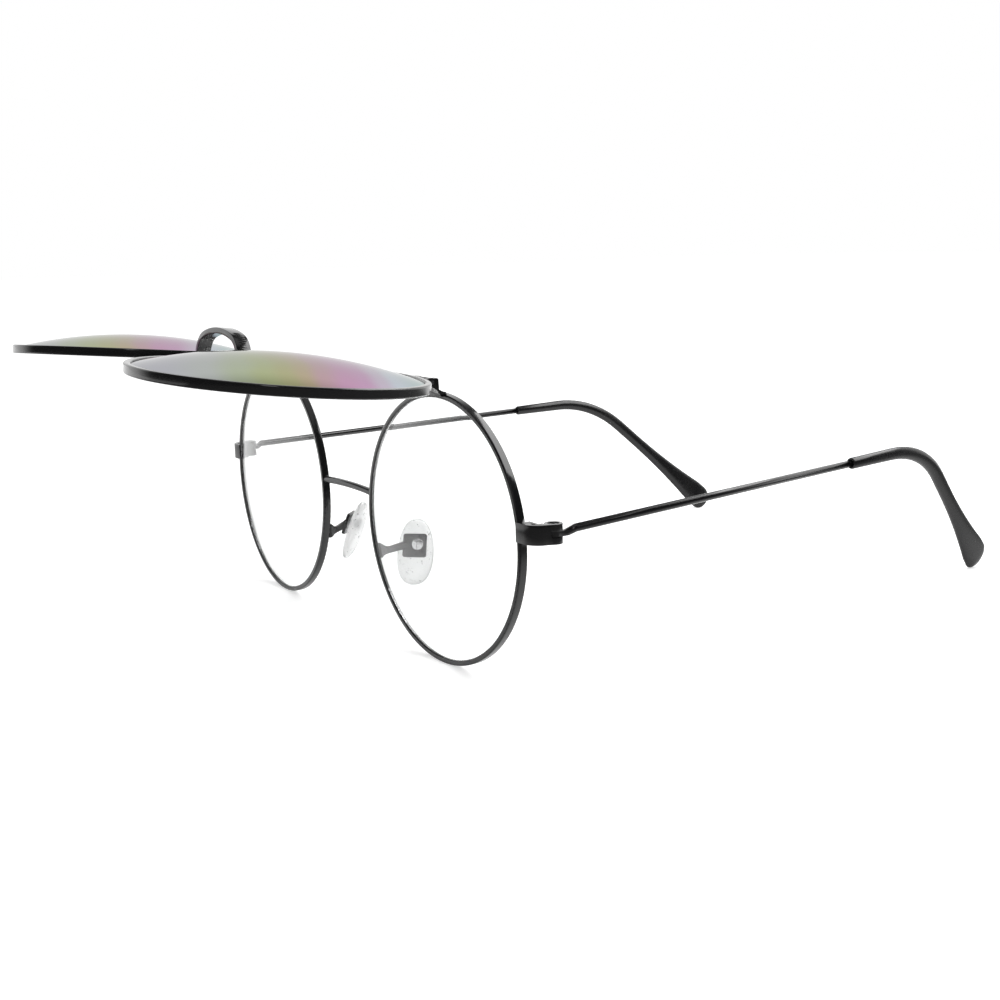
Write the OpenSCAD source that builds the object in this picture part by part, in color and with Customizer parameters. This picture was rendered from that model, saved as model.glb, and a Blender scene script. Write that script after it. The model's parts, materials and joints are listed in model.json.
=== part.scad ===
// Round metal eyeglasses with a hinged, mirrored flip-up front.
// Millimetres. +Z is up, the wearer looks along -Y, the wearer's left is +X.
// The front is drawn about the point midway between the eyewire centres, then
// moved so that the whole object stands centred on the origin.

/* [Front] */
// Outside diameter of each round eyewire
rim_od = 51; // [46:0.5:56]
// Gap between the two eyewires at the nose
rim_gap = 20; // [17:0.5:24]
// Eyewire thickness seen from the front
rim_wall = 1.05; // [0.95:0.05:1.5]
// Eyewire depth from front to back
rim_depth = 1.6; // [1.4:0.1:2.2]
// Angle that each eyewire turns back towards its temple
rim_wrap = 2.4; // [0:0.2:4]
// Clear lens thickness
clear_t = 1; // [0.8:0.1:1.4]
// Radius of the clear lens's front surface
clear_curve = 100; // [80:5:160]
// Depth of the lens groove inside every rim
groove_d = 0.45; // [0.3:0.05:0.5]
// Gap between a lens's edge and its rim
lens_play = 0.05; // [0.02:0.01:0.1]

/* [Bridge] */
// Diameter of the bridge wire
bridge_d = 1.4; // [1:0.1:1.8]
// Height of the bridge ends above the eyewire centres
bridge_z = 3.45; // [0:0.1:8]
// Rise of the bridge between its ends
bridge_rise = 0.35; // [0.2:0.1:2]
// How far the bridge stands in front of the eyewire middle
bridge_fore = 0.45; // [0:0.05:0.8]

/* [Flip front] */
// Outside diameter of each flip rim
flip_od = 51.2; // [46:0.1:56]
// Flip rim thickness seen from the front
flip_wall = 1.2; // [1:0.05:1.5]
// Flip rim depth from front to back
flip_depth = 1.75; // [1.6:0.05:2.6]
// Gap between the closed flip rims and the eyewires
flip_gap = 1.7; // [1.5:0.05:2.5]
// Mirror lens thickness
mirror_t = 1.1; // [0.9:0.1:1.3]
// Radius of the mirror lens's front surface
mirror_curve = 89; // [66:1:110]
// Angle between the closed and the raised flip front
raised_angle = 95.7; // [80:0.1:110]

/* [Flip bridge] */
// Height of the flip bridge above the lens centres when closed
arch_z = 3.95; // [0:0.05:6]
// Width of the flip bridge's strap
arch_w = 2.8; // [2:0.1:3.5]
// Thickness of the flip bridge's strap
arch_t = 1.15; // [1:0.05:1.8]
// How far the flip bridge bows out from its feet
arch_reach = 6.1; // [5:0.1:9]
// Radius of the flip bridge's shoulders
arch_shoulder = 5.3; // [3:0.1:6]
// How far the feet reach along the flip rims' sides
arch_foot = 0.6; // [0.3:0.1:1.4]
// How far the feet lap over the flip rims' front faces
arch_lap = 0.7; // [0.3:0.05:1]

/* [Flip hinges] */
// Height of the flip hinge axis above the eyewires
axis_rise = 2.1; // [2:0.05:3]
// How far the axis stands in front of the closed flip rims' backs
axis_fore = 0.7; // [0.5:0.05:1]
// Overall width of a flip hinge
flip_hinge_w = 7.1; // [6:0.1:9]
// Thickness of each bracket ear
ear_t = 1.3; // [1:0.1:1.6]
// Diameter of the hinge barrel and ears
barrel_d = 1.7; // [1.5:0.1:2]
// Diameter of the flip hinge pin
flip_pin_d = 0.9; // [0.7:0.05:1]
// Thickness of a friction washer
washer_t = 0.2; // [0.15:0.05:0.4]

/* [End pieces] */
// Height of the end pieces and hinges above the eyewire centres
hinge_z = 3.45; // [0:0.05:6]
// Height of an end piece
end_h = 3.45; // [3:0.05:4.5]
// How far the temple hinge stands out from the eyewire
hinge_out = 3.8; // [3.5:0.1:5]
// How far the temple hinge stands behind the eyewire
hinge_back = 3.65; // [3.4:0.05:5]
// Outside radius of the hinge knuckles
knuckle_r = 1.6; // [1.4:0.05:2]
// Radius of the end piece's outer corner
corner_r = 3.1; // [2.5:0.1:3.5]
// Height of the slot that takes the temple's eye
slot_h = 1; // [0.8:0.05:1.2]
// Lean of the hinge pins, which lets the folded temples cross
hinge_lean = 1; // [0:0.1:1.5]
// Gap between the two halves of the closing block
closing_gap = 0.5; // [0.3:0.05:0.7]
// Shank diameter of the closing screws
closing_d = 0.9; // [0.8:0.05:1]
// Shank diameter of the hinge screws
hinge_d = 1.25; // [1:0.05:1.4]

/* [Temples] */
// Diameter of the temple wire
wire_d = 1.45; // [1.2:0.05:1.8]
// Length of the bare temple wire
wire_l = 73; // [60:1:90]
// Length of the straight part of the wire inside the tip
hidden_l = 13.2; // [6:0.2:16]
// Bend radius behind the ear
bend_r = 25.8; // [18:0.2:35]
// Angle of the bend behind the ear
bend_a = 45.6; // [30:0.2:60]
// Length of the tip's tail after the bend
tail_l = 36.3; // [28:0.1:45]
// Inward lean of the bend
bend_lean = 13.5; // [0:0.5:20]
// Angle by which the temples close in towards the back
splay = 4.6; // [0:0.2:7]
// Angle by which the temples climb towards the back
climb = 1.9; // [-2:0.05:4]
// Thickness of the temple's flat eye
eye_t = 0.9; // [0.7:0.05:1.1]

/* [Temple tips] */
// Height and width of the plastic tip where it starts
tip_d = 2.3; // [2:0.1:3.2]
// Extra height of the tip at the end of its bend
tip_swell = 0.7; // [0:0.1:1.2]
// Height of the tip's paddle
paddle_h = 6.9; // [4:0.1:8]
// Thickness of the paddle
paddle_t = 1.9; // [1.5:0.1:2.6]
// Length of wire held inside the tail
core_l = 22; // [10:1:26]
// Gap between the wire and the tip's bore
core_play = 0.03; // [0.02:0.01:0.1]

/* [Nose pads] */
// Pad height
pad_h = 13.4; // [10:0.2:16]
// Pad width
pad_w = 7.3; // [6:0.1:9]
// Pad thickness
pad_t = 2.6; // [2:0.1:4]
// Sideways place of the pad plate
pad_x = 14.6; // [12:0.1:16]
// How far the pad plate stands behind the eyewire middle
pad_y = 6.3; // [4:0.1:8]
// Height of the pad plate below the eyewire centres
pad_drop = 7.6; // [5:0.1:12]
// How far the pads turn to face back
pad_turn = 44; // [20:1:60]
// How far the pads spread towards the bottom
pad_splay = 20; // [0:1:30]
// Size of the square pad plate
plate_s = 4.7; // [4:0.1:5.5]
// Thickness of the pad plate and its arm
plate_t = 0.65; // [0.5:0.05:0.9]

/* [Hidden] */

left = 1;
right = -1;
round_fn = 96;
small_fn = 48;
hull_fn = 32;
far = 200;

// Radial and axial clearances
pin_fit = 0.05;
seat_fit = 0.02;

// Front
rim_r = rim_od / 2;
rim_x = rim_gap / 2 + rim_r;
rim_edge = 0.25;
lens_land = 0.08;

// Flip front, in its closed place
flip_r = flip_od / 2;
flip_edge = 0.3;
flip_back_y = -rim_depth / 2 - flip_gap;
flip_mid_y = flip_back_y - flip_depth / 2;
axis_y = flip_back_y - axis_fore;
axis_z = rim_r + axis_rise;
bracket_in = flip_hinge_w / 2 - ear_t;
bracket_back = -0.3;
knuckle_half = bracket_in - washer_t - 0.06;

// Eyewire's outer side at the height of the end piece
side_x = rim_x + sqrt(pow(rim_r, 2) - pow(hinge_z, 2)) * cos(rim_wrap);
side_y = sqrt(pow(rim_r, 2) - pow(hinge_z, 2)) * sin(rim_wrap);

// Closing block behind and beside the eyewire
band_t = 0.86;
band_y = -rim_depth / 2 - 0.2;
block_x0 = -0.45;
block_x1 = 2.9;
block_y0 = band_y + band_t;
block_y1 = 1.7;
closing_x = 1.95;
closing_y = (block_y0 + block_y1) / 2;
closing_head_r = 0.65;
closing_head_h = 0.45;

// Temple hinge
eye_r = knuckle_r - 0.15;
tongue_w = 1.15;
tongue_x = eye_r - tongue_w / 2 - 0.02;
tongue_l = knuckle_r + 0.75;
slot_r = knuckle_r + 0.08;
screw_head_r = 0.95;
screw_head_h = 0.4;
screw_sink = 0.55;
driver_w = 0.28;
driver_d = 0.22;

// Wire start, seen from the hinge
neck_x = 1.42;
neck_y = 3.5;
neck_z = 0.67;
start = [side_x + hinge_out + neck_x, side_y + hinge_back + neck_y, hinge_z + neck_z];
bend_y = wire_l + hidden_l;
arc_l = bend_r * bend_a * PI / 180;
bend_lap = 0.6;
tip_l = hidden_l + arc_l + tail_l;
end_round = 0.06;

// Nose pads
foot_t = 0.55;
foot_l = 3;
foot_angle = asin((pad_drop + 0.5) / (rim_r - rim_wall / 2));
foot_r = rim_r - rim_wall / 2;
pad_gap = 0.25;
pad_low = 1;
pad_crown = 12;
boss_r = 1;
pad_screw_y = 0.7;
pad_screw_z = 0.2;
pad_screw_d = 1;
pad_head_r = 1.15;
pad_head_h = 0.4;
pad_bore_l = 1.9;

// Place of the front on the surface that the object stands on
raised_front = axis_y - sin(raised_angle) * (flip_r + axis_z);
tail_w = bend_r * (1 - cos(bend_a)) + tail_l * sin(bend_a);
tail_y = bend_y + bend_r * sin(bend_a) + tail_l * cos(bend_a) + paddle_h * end_round;
back_end = start[1] + (tail_y * cos(climb) + tail_w * cos(bend_lean) * sin(climb)) * cos(splay);
front_y = -(raised_front + back_end) / 2;
floor_z = rim_r;

// Draws a left piece as it is, and a right piece as its mirror image.
module on_side(side) {
    translate([0, front_y, floor_z])
        if (side == left) children();
        else mirror([1, 0, 0]) children();
}

module at_rim() {
    translate([rim_x, 0, 0]) rotate([0, 0, rim_wrap]) children();
}

module at_flip() {
    translate([rim_x, flip_mid_y, 0]) rotate([0, 0, rim_wrap]) children();
}

// Turns the flip front from closed to raised about its hinge axis.
module raised() {
    translate([0, axis_y, axis_z]) rotate([-raised_angle, 0, 0]) translate([0, -axis_y, -axis_z]) children();
}

// Turns a shape about Z so that it lies round the Y axis, its top to the front.
module facing_front() {
    rotate([90, 0, 0]) children();
}

module rod_y(r, l) {
    rotate([-90, 0, 0]) cylinder(r = r, h = l, $fn = small_fn);
}

module rod_x(r, l) {
    rotate([0, 90, 0]) cylinder(r = r, h = l, center = true, $fn = small_fn);
}

module rounded_square(w, h, r) {
    translate([0, r]) square([w, h - 2 * r]);
    translate([r, 0]) square([w - 2 * r, h]);
    for (x = [r, w - r], y = [r, h - r])
        translate([x, y]) circle(r = r, $fn = small_fn);
}

// A round rim with a lens groove, centred on the origin.
module rim_ring(r, wall, depth, edge) {
    facing_front() rotate_extrude($fn = round_fn * 2) difference() {
        translate([r - wall, -depth / 2]) rounded_square(wall, depth, edge);
        translate([r - wall, 0]) polygon([
            [-edge, -groove_d - lens_land], [0, -groove_d - lens_land], [groove_d, -lens_land],
            [groove_d, lens_land], [0, groove_d + lens_land], [-edge, groove_d + lens_land]]);
    }
}

// A domed lens whose bevelled edge sits in a rim's groove.
module lens(r, wall, curve, t) {
    edge = r - wall - lens_play;
    drop = sqrt(pow(curve - t / 2, 2) - pow(edge, 2));
    bevel = groove_d - lens_play;
    facing_front() {
        intersection() {
            translate([0, 0, -drop]) difference() {
                sphere(r = curve, $fn = round_fn * 2);
                sphere(r = curve - t, $fn = round_fn * 2);
            }
            translate([0, 0, -t]) cylinder(r = edge, h = curve, $fn = round_fn * 2);
        }
        rotate_extrude($fn = round_fn * 2) polygon([
            [edge - groove_d, -bevel], [edge, -bevel], [edge + bevel, -lens_land / 2],
            [edge + bevel, lens_land / 2], [edge, bevel], [edge - groove_d, bevel]]);
    }
}

// Eyewires

module at_closing_block() {
    translate([side_x, side_y, hinge_z]) children();
}

module closing_outline() {
    translate([block_x0, block_y0]) square([block_x1 - block_x0, block_y1 - block_y0]);
}

module eyewire(side) {
    color([0.05, 0.05, 0.055]) on_side(side) difference() {
        union() {
            at_rim() rim_ring(rim_r, rim_wall, rim_depth, rim_edge);
            at_closing_block() linear_extrude(end_h - 0.3, center = true) closing_outline();
        }
        translate([rim_x + rim_r / 2, -rim_r / 2, hinge_z - closing_gap / 2]) cube([rim_r, rim_r, closing_gap]);
        at_closing_block() translate([closing_x, closing_y, -end_h]) {
            cylinder(d = closing_d + seat_fit * 2, h = end_h * 2 - 0.6, $fn = small_fn);
            translate([0, 0, end_h / 2 - seat_fit]) cylinder(
                r = closing_head_r + pin_fit, h = closing_head_h + 0.15 + seat_fit, $fn = small_fn);
        }
    }
}

module closing_screw(side) {
    bottom = -end_h / 2 + 0.15;
    color([0.12, 0.12, 0.13]) on_side(side) at_closing_block()
        translate([closing_x, closing_y, bottom]) difference() {
            union() {
                cylinder(r = closing_head_r, h = closing_head_h - seat_fit, $fn = small_fn);
                cylinder(d = closing_d, h = end_h - 1.2, $fn = small_fn);
            }
            translate([-far / 2, -driver_w / 2, -far + driver_d]) cube([far, driver_w, far]);
        }
}

module clear_lens(side) {
    color([0.93, 0.96, 0.97, 0.35]) on_side(side) at_rim() lens(rim_r, rim_wall, clear_curve, clear_t);
}

// Bridge

module bridge() {
    half = rim_x - sqrt(pow(rim_r, 2) - pow(bridge_z, 2)) + bridge_fore;
    bow = (pow(half, 2) + pow(bridge_rise, 2)) / (2 * bridge_rise);
    sweep = 2 * asin(half / bow);
    y = -bridge_fore - rim_r * sin(rim_wrap) / 2;
    color([0.05, 0.05, 0.055]) on_side(left) difference() {
        translate([0, y, bridge_z + bridge_rise - bow]) rotate([90, 0, 0]) rotate([0, 0, 90 - sweep / 2])
            rotate_extrude(angle = sweep, $fn = round_fn * 4) translate([bow, 0])
                circle(d = bridge_d, $fn = small_fn);
        for (m = [0, 1]) mirror([m, 0, 0]) at_rim() facing_front()
            cylinder(r = rim_r, h = far, center = true, $fn = round_fn * 2);
    }
}

// End pieces with the forks of the temple hinges

module at_hinge() {
    translate([side_x + hinge_out, side_y + hinge_back, hinge_z]) children();
}

// The front band that laps the rim and turns back round the corner.
module band_outline() {
    corner = [block_x1 - 1.25, band_y + corner_r];
    difference() {
        union() {
            translate([-rim_wall + 0.3, band_y]) square([corner[0] + rim_wall - 0.3, corner_r]);
            translate(corner) circle(r = corner_r, $fn = round_fn);
        }
        translate([-far, corner[1] - 0.1]) square([2 * far, far]);
        translate([-far, block_y0]) square([far + block_x1, far]);
    }
}

// The short leg from the corner back to the hinge knuckle.
module leg_outline() {
    corner = [block_x1 - 1.25, band_y + corner_r];
    outer = corner[0] + corner_r;
    polygon([[block_x1 + 0.1, block_y0 - 0.2], [block_x1 + 0.1, block_y1 - 0.1], [outer - 1, block_y1 + 0.1],
        [hinge_out - knuckle_r * 0.6, hinge_back - knuckle_r * 0.6], [hinge_out, hinge_back],
        [hinge_out + knuckle_r - 0.02, hinge_back - 0.1], [outer + 0.1, corner[1]], [outer - 0.04, corner[1] - 0.3]]);
}

module end_piece(side) {
    color([0.05, 0.05, 0.055]) on_side(side) difference() {
        union() {
            at_closing_block() linear_extrude(end_h, center = true) band_outline();
            at_closing_block() linear_extrude(end_h, center = true) leg_outline();
            at_hinge() cylinder(r = knuckle_r, h = end_h, center = true, $fn = small_fn);
        }
        at_rim() facing_front() cylinder(r = rim_r, h = rim_depth, center = true, $fn = round_fn * 2);
        at_hinge() rotate([0, side * hinge_lean, 0]) {
            cylinder(r = slot_r, h = slot_h, center = true, $fn = small_fn);
            translate([-far, 0, -slot_h / 2]) cube([2 * far, far, slot_h]);
            cylinder(d = hinge_d + pin_fit * 2, h = far, $fn = small_fn);
            translate([0, 0, -far / 2]) cylinder(d = hinge_d + seat_fit * 2, h = far, $fn = small_fn);
            translate([0, 0, end_h / 2 - screw_sink]) cylinder(r = screw_head_r + pin_fit * 2, h = far, $fn = small_fn);
        }
    }
}

module hinge_screw(side) {
    color([0.16, 0.16, 0.17]) on_side(side) at_hinge() rotate([0, side * hinge_lean, 0]) difference() {
        union() {
            translate([0, 0, -end_h / 2 + 0.05]) cylinder(
                d = hinge_d, h = end_h - screw_sink, $fn = small_fn);
            translate([0, 0, end_h / 2 - screw_sink + seat_fit]) cylinder(
                r = screw_head_r, h = screw_head_h, $fn = small_fn);
        }
        translate([-far / 2, -driver_w / 2, end_h / 2 - screw_sink + seat_fit + screw_head_h - driver_d])
            cube([far, driver_w, far]);
    }
}

// Temples

module along_temple() {
    translate(start) rotate([climb, 0, splay]) children();
}

module temple_core(r, tail) {
    rod_y(r, bend_y);
    translate([0, bend_y, 0]) rotate([0, bend_lean, 0]) {
        translate([0, 0, -bend_r]) rotate([0, -90, 0]) rotate([0, 0, -bend_lap])
            rotate_extrude(angle = bend_a + 2 * bend_lap, $fn = round_fn * 2)
                translate([bend_r, 0]) circle(r = r - 0.01, $fn = small_fn);
        translate([0, bend_r * sin(bend_a), -bend_r * (1 - cos(bend_a))]) rotate([-bend_a, 0, 0])
            rod_y(r, tail);
    }
}

module temple_wire(side) {
    color([0.05, 0.05, 0.055]) on_side(side) {
        along_temple() temple_core(wire_d / 2, core_l);
        at_hinge() rotate([0, side * hinge_lean, 0]) difference() {
            union() {
                cylinder(r = eye_r, h = eye_t, center = true, $fn = small_fn);
                translate([tongue_x - tongue_w / 2, 0, -eye_t / 2]) cube([tongue_w, tongue_l, eye_t]);
            }
            cylinder(d = hinge_d + pin_fit * 2, h = far, center = true, $fn = small_fn);
        }
        hull() {
            at_hinge() translate([tongue_x, tongue_l - 0.15, 0])
                cube([tongue_w, 0.3, eye_t - 0.02], center = true);
            along_temple() rotate([-90, 0, 0]) cylinder(d = wire_d, h = 0.1, $fn = hull_fn);
        }
    }
}

// Plastic temple tip: a slim tube that swells to a flat paddle

ring_n = 20;
cap_l = 3;
lip_l = 0.3;
flare_from = 6;
flare_to = 31;
steps = concat([0, lip_l / 3, lip_l], [for (i = [1:2]) lip_l + (hidden_l - lip_l) * i / 2],
    [for (i = [1:12]) hidden_l + arc_l * i / 12],
    [for (i = [1:12]) hidden_l + arc_l + (tail_l - cap_l) * i / 12],
    [for (a = [15:15:75]) tip_l - cap_l + cap_l * sin(a)], [tip_l]);

// Share of the flare reached at a distance along the tip.
function flare(s) = pow(min(1, max(0, (s - hidden_l - arc_l - flare_from) / (flare_to - flare_from))), 2);

// Shrinks the section at the open lip and at the rounded end.
function closing(s) = s < lip_l ? 0.86 + 0.14 * sin(90 * s / lip_l)
    : s > tip_l - cap_l ? sqrt(max(0.004, 1 - pow((s - tip_l + cap_l) / cap_l, 2))) : 1;

// Height before the paddle flares out.
function stem_h(s) = tip_d + tip_swell * min(1, s / (hidden_l + arc_l));

function half_h(s) = closing(s) * (stem_h(s) + (paddle_h - stem_h(s)) * flare(s)) / 2;
function half_w(s) = closing(s) * (tip_d + (paddle_t - tip_d) * flare(s)) / 2;
function turn(s) = bend_a * min(1, max(0, (s - hidden_l) / arc_l));
function run(s) = max(0, s - hidden_l - arc_l);
function mid_y(s) = min(s, hidden_l) + bend_r * sin(turn(s)) + run(s) * cos(bend_a);
function mid_z(s) = -bend_r * (1 - cos(turn(s))) - run(s) * sin(bend_a);
function tip_point(s, a) = [half_w(s) * cos(a),
    mid_y(s) + half_h(s) * sin(a) * sin(turn(s)),
    mid_z(s) + half_h(s) * sin(a) * cos(turn(s))];

module tip_skin() {
    last = len(steps) - 1;
    polyhedron(
        points = [for (s = steps, k = [0:ring_n - 1]) tip_point(s, 360 * k / ring_n)],
        faces = concat(
            [[for (k = [0:ring_n - 1]) k]],
            [for (i = [0:last - 1], k = [0:ring_n - 1]) let (n = (k + 1) % ring_n)
                [i * ring_n + k, (i + 1) * ring_n + k, (i + 1) * ring_n + n]],
            [for (i = [0:last - 1], k = [0:ring_n - 1]) let (n = (k + 1) % ring_n)
                [i * ring_n + k, (i + 1) * ring_n + n, i * ring_n + n]],
            [[for (k = [ring_n - 1:-1:0]) last * ring_n + k]]));
}

module temple_tip(side) {
    color([0.06, 0.06, 0.065]) on_side(side) along_temple() difference() {
        translate([0, bend_y, 0]) rotate([0, bend_lean, 0]) translate([0, -hidden_l, 0]) tip_skin();
        temple_core(wire_d / 2 + core_play, core_l + 0.1);
    }
}

// Nose pads

module at_pad() {
    translate([pad_x, pad_y, -pad_drop]) rotate([0, 0, -pad_turn]) rotate([0, -pad_splay, 0]) children();
}

function to_front(p) = [
    pad_x + cos(pad_turn) * (cos(pad_splay) * p[0] - sin(pad_splay) * p[2]) + sin(pad_turn) * p[1],
    pad_y - sin(pad_turn) * (cos(pad_splay) * p[0] - sin(pad_splay) * p[2]) + cos(pad_turn) * p[1],
    -pad_drop + sin(pad_splay) * p[0] + cos(pad_splay) * p[2]];

module pad_arm(side) {
    foot_c = [-foot_r * cos(foot_angle), rim_depth / 2 + foot_t / 2, -foot_r * sin(foot_angle)];
    from = [rim_x + foot_c[0] * cos(rim_wrap) - foot_c[1] * sin(rim_wrap),
        foot_c[0] * sin(rim_wrap) + foot_c[1] * cos(rim_wrap), foot_c[2]];
    to = to_front([plate_t / 2, -plate_s / 2 + 0.3, 0]);
    run_l = norm([to[0] - from[0], to[1] - from[1]]);
    rise = to[2] - from[2];
    color([0.06, 0.06, 0.065]) on_side(side) {
        at_rim() rotate([0, -foot_angle, 0]) translate([-foot_r, rim_depth / 2 + foot_t / 2, 0])
            cube([rim_wall - 0.2, foot_t, foot_l], center = true);
        translate(from) rotate([0, 0, atan2(to[1] - from[1], to[0] - from[0])]) rotate([90, 0, 0])
            linear_extrude(plate_t, center = true) polygon([[0, -1.45], [0.5, -1.25], [1, -0.85], [1.7, -0.68],
                [run_l - 0.4, rise - 0.75], [run_l, rise - 1], [run_l, rise + 1], [run_l - 0.4, rise + 0.75],
                [1.7, 0.68], [1, 0.85], [0.5, 1.25], [0, 1.45]]);
        at_pad() difference() {
            translate([plate_t, -plate_s / 2, -plate_s / 2]) rotate([0, -90, 0])
                linear_extrude(plate_t) rounded_square(plate_s, plate_s, 0.45);
            translate([0, pad_screw_y, pad_screw_z]) rod_x(boss_r + pin_fit, far);
        }
    }
}

module pad_outline(w, h) {
    for (z = [-1, 1]) translate([z * (h - w) / 2, 0]) circle(d = w, $fn = round_fn);
    translate([-(h - w) / 2, -w / 2]) square([h - w, w]);
}

// Soft pad, crowned on the side that meets the nose.
module nose_pad(side) {
    back = -pad_gap;
    color([0.9, 0.92, 0.92, 0.5]) on_side(side) at_pad() difference() {
        union() {
            intersection() {
                translate([back, 0, -pad_low]) rotate([0, -90, 0]) linear_extrude(pad_t) pad_outline(pad_w, pad_h);
                translate([back - pad_t + pad_crown, 0, -pad_low]) sphere(r = pad_crown, $fn = round_fn);
                translate([back + pad_crown * 0.55, 0, -pad_low]) sphere(r = pad_crown, $fn = round_fn);
            }
            translate([plate_t - 0.05, pad_screw_y, pad_screw_z]) rotate([0, -90, 0])
                cylinder(r = boss_r, h = plate_t + pad_gap + 0.3, $fn = small_fn);
        }
        translate([plate_t, pad_screw_y, pad_screw_z]) rotate([0, -90, 0])
            cylinder(d = pad_screw_d + seat_fit * 2, h = plate_t + pad_bore_l, $fn = small_fn);
    }
}

module pad_screw(side) {
    color([0.75, 0.76, 0.78]) on_side(side) at_pad()
        translate([plate_t + seat_fit, pad_screw_y, pad_screw_z]) rotate([0, 90, 0]) difference() {
            union() {
                translate([0, 0, -plate_t - pad_bore_l + 0.3]) cylinder(
                    d = pad_screw_d, h = plate_t + pad_bore_l - 0.2, $fn = small_fn);
                cylinder(r = pad_head_r, h = pad_head_h, $fn = small_fn);
            }
            translate([-far / 2, -driver_w / 2, pad_head_h - driver_d]) cube([far, driver_w, far]);
        }
}

// Flip hinges: a bracket on the eyewire, a knuckle on the flip rim and a pin

module across(w) {
    rotate([90, 0, 90]) linear_extrude(w, center = true) children();
}

module ear_outline() {
    front = -rim_depth / 2;
    translate([axis_y, axis_z]) circle(d = barrel_d, $fn = small_fn);
    polygon([[axis_y, axis_z + barrel_d * 0.45], [axis_y - barrel_d * 0.45, axis_z], [axis_y - barrel_d * 0.4, axis_z - 0.55],
        [axis_y + 0.95, rim_r + 0.75], [front - 0.75, rim_r - 0.15], [front - 0.6, rim_r - 0.6], [front + 0.3, rim_r - 0.6],
        [bracket_back, rim_r - 0.3], [bracket_back, rim_r + 0.25], [front, rim_r + 0.3], [axis_y + 1.5, rim_r + 0.75],
        [axis_y + 1.4, axis_z + barrel_d / 2 - 0.3], [axis_y + 1.1, axis_z + barrel_d * 0.45]]);
}

module flip_bracket(side) {
    color([0.05, 0.05, 0.055]) on_side(side) difference() {
        translate([rim_x, 0, 0]) difference() {
            across(flip_hinge_w) ear_outline();
            translate([-bracket_in, axis_y + 1.4 - far, 0]) cube([2 * bracket_in, far, far]);
            translate([0, axis_y, axis_z]) rod_x(flip_pin_d / 2 + seat_fit, far);
        }
        at_rim() facing_front() cylinder(r = rim_r, h = rim_depth, center = true, $fn = round_fn * 2);
    }
}

module flip_pin(side) {
    color([0.3, 0.3, 0.31]) on_side(side) translate([rim_x, axis_y, axis_z]) rod_x(flip_pin_d / 2, flip_hinge_w);
}

module flip_washers(side) {
    color([0.55, 0.55, 0.56]) on_side(side) translate([rim_x, axis_y, axis_z])
        for (m = [-1, 1]) translate([m * (bracket_in - 0.03 - washer_t / 2), 0, 0]) difference() {
            rod_x(barrel_d / 2 - 0.05, washer_t);
            rod_x(flip_pin_d / 2 + pin_fit, far);
        }
}

module leaf_outline() {
    polygon([[axis_y - barrel_d * 0.4, axis_z], [axis_y + barrel_d * 0.4, axis_z], [axis_y + 0.5, flip_r + 0.9],
        [flip_back_y - 0.1, flip_r + 0.5], [flip_back_y - 0.1, flip_r - 0.4],
        [flip_back_y - flip_depth + 0.3, flip_r - 0.4], [flip_back_y - flip_depth + 0.3, flip_r + 0.5],
        [axis_y - 0.6, flip_r + 0.9]]);
}

module flip_knuckle(side) {
    color([0.05, 0.05, 0.055]) on_side(side) raised() difference() {
        union() {
            translate([rim_x, axis_y, axis_z]) rod_x(barrel_d / 2, 2 * knuckle_half);
            translate([rim_x, 0, 0]) across(2 * knuckle_half) leaf_outline();
        }
        translate([rim_x, axis_y, axis_z]) rod_x(flip_pin_d / 2 + pin_fit, far);
        at_flip() facing_front() cylinder(r = flip_r, h = far, center = true, $fn = round_fn * 2);
    }
}

// Flip front

module flip_rim(side) {
    color([0.04, 0.04, 0.045]) on_side(side) raised() at_flip() rim_ring(flip_r, flip_wall, flip_depth, flip_edge);
}

module mirror_lens(side) {
    color([0.62, 0.6, 0.66]) on_side(side) raised() at_flip() lens(flip_r, flip_wall, mirror_curve, mirror_t);
}

// Three-centred arch: shoulder arcs that run into one flat crown arc.
arch_a = rim_x - sqrt(pow(flip_r, 2) - pow(arch_z, 2)) + arch_lap;
arch_c = arch_a - arch_shoulder;
arch_rise = (pow(arch_c, 2) - pow(arch_reach - arch_shoulder, 2)) / (2 * (arch_reach - arch_shoulder));
crown_r = arch_rise + arch_reach;
crown_half = atan2(arch_c, arch_rise);

function arch_side(in, m) = [for (i = [0:8]) let (a = (m > 0 ? i : 8 - i) * (90 - crown_half) / 8)
    [m * (arch_c + (arch_shoulder - in) * cos(a)), (arch_shoulder - in) * sin(a)]];
function arch_crown(in) = [for (i = [1:15]) let (a = 90 - crown_half + 2 * crown_half * i / 16)
    [(crown_r - in) * cos(a), (crown_r - in) * sin(a) - arch_rise]];
function arch_line(in) = concat(arch_side(in, 1), arch_crown(in), arch_side(in, -1));
function reversed(v) = [for (i = [len(v) - 1:-1:0]) v[i]];

module arch_outline() {
    polygon(concat([[arch_a, -arch_foot]], arch_line(0), [[-arch_a, -arch_foot]],
        [[-arch_a + arch_t, -arch_foot]], reversed(arch_line(arch_t)), [[arch_a - arch_t, -arch_foot]]));
}

module flip_bridge() {
    foot_y = flip_mid_y - flip_r * sin(rim_wrap) + 0.2;
    color([0.04, 0.04, 0.045]) on_side(left) raised() difference() {
        translate([0, foot_y, arch_z]) mirror([0, 1, 0])
            linear_extrude(arch_w, center = true) arch_outline();
        for (m = [0, 1]) mirror([m, 0, 0]) at_flip() facing_front()
            cylinder(r = flip_r, h = flip_depth, center = true, $fn = round_fn * 2);
    }
}

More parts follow.
